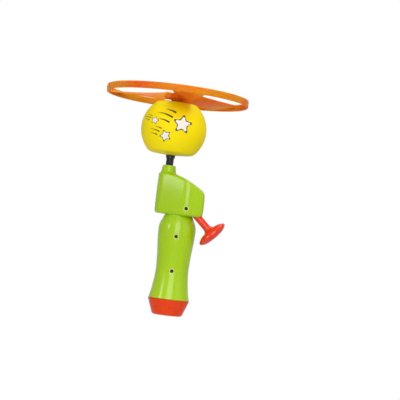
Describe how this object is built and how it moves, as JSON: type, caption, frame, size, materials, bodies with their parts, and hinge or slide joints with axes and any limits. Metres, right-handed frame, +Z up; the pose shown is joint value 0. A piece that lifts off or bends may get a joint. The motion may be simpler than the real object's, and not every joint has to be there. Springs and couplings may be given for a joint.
{
  "type": "flying propeller launcher",
  "caption": "Hand-held pull-cord launcher with a grip, gear case and spindle that spins a ball-headed, ringed propeller until it flies off.",
  "frame": {"origin": "on the spindle's axis, at the height of the flat base", "axes": "+Z up along the spindle, +X from the spindle towards the spool and the pull handle, -Y to the toy's front"},
  "size_m": [0.15, 0.15, 0.2352],
  "materials": {
    "green_plastic": "satin",
    "red_orange_plastic": "satin",
    "orange_plastic": "satin",
    "yellow_vinyl": "matte",
    "black_plastic": "gloss",
    "natural_plastic": "satin",
    "white_cord": "matte",
    "steel": "satin"
  },
  "bodies": {
    "launcher": {"front_shell": "green_plastic", "rear_shell": "green_plastic", "base_cap": "red_orange_plastic", "case_screw": "steel", "lower_grip_screw": "steel", "upper_grip_screw": "steel", "neck_bush": "natural_plastic", "foot_bush": "natural_plastic", "spool_axle": "steel", "spool_washer": "steel", "cord_outlet": "natural_plastic"},
    "spindle": {"drive_spindle": "black_plastic", "spindle_pinion": "natural_plastic", "spindle_clip": "steel"},
    "spool": {"spool_gear": "natural_plastic", "spring_cover": "natural_plastic", "return_spring": "steel", "cord_winding": "white_cord"},
    "pull": {"pull_handle": "red_orange_plastic", "handle_plug": "red_orange_plastic", "cord_knot": "white_cord", "pull_cord": "white_cord"},
    "flyer": {"head_ball": "yellow_vinyl", "drive_sleeve": "black_plastic", "propeller": "orange_plastic", "hub_screw": "steel", "hub_cap": "red_orange_plastic"}
  },
  "joints": [
    {"name": "spindle_spin", "type": "hinge", "parent": "launcher", "child": "spindle", "pos_m": [0, 0, 0.13], "axis": [0, 0, -1], "range_deg": [0, 3168]},
    {"name": "spool_spin", "type": "hinge", "parent": "launcher", "child": "spool", "pos_m": [0.0216, 0, 0.125], "axis": [0, 0, 1], "range_deg": [0, 1440.1], "stiffness_Nm_per_rad": 0.0006, "springref_deg": -687.55},
    {"name": "cord_pull", "type": "slide", "parent": "launcher", "child": "pull", "axis": [0.7332, 0, -0.68], "range_m": [0, 0.2703]},
    {"name": "flyer_lift", "type": "slide", "parent": "spindle", "child": "flyer", "axis": [0, 0, 1], "range_m": [0, 0.1]}
  ],
  "couplings": [
    {"joint": "spool_spin", "follows": "spindle_spin", "ratio": 0.45455},
    {"joint": "cord_pull", "follows": "spindle_spin", "m_per_rad": 0.0048864}
  ]
}
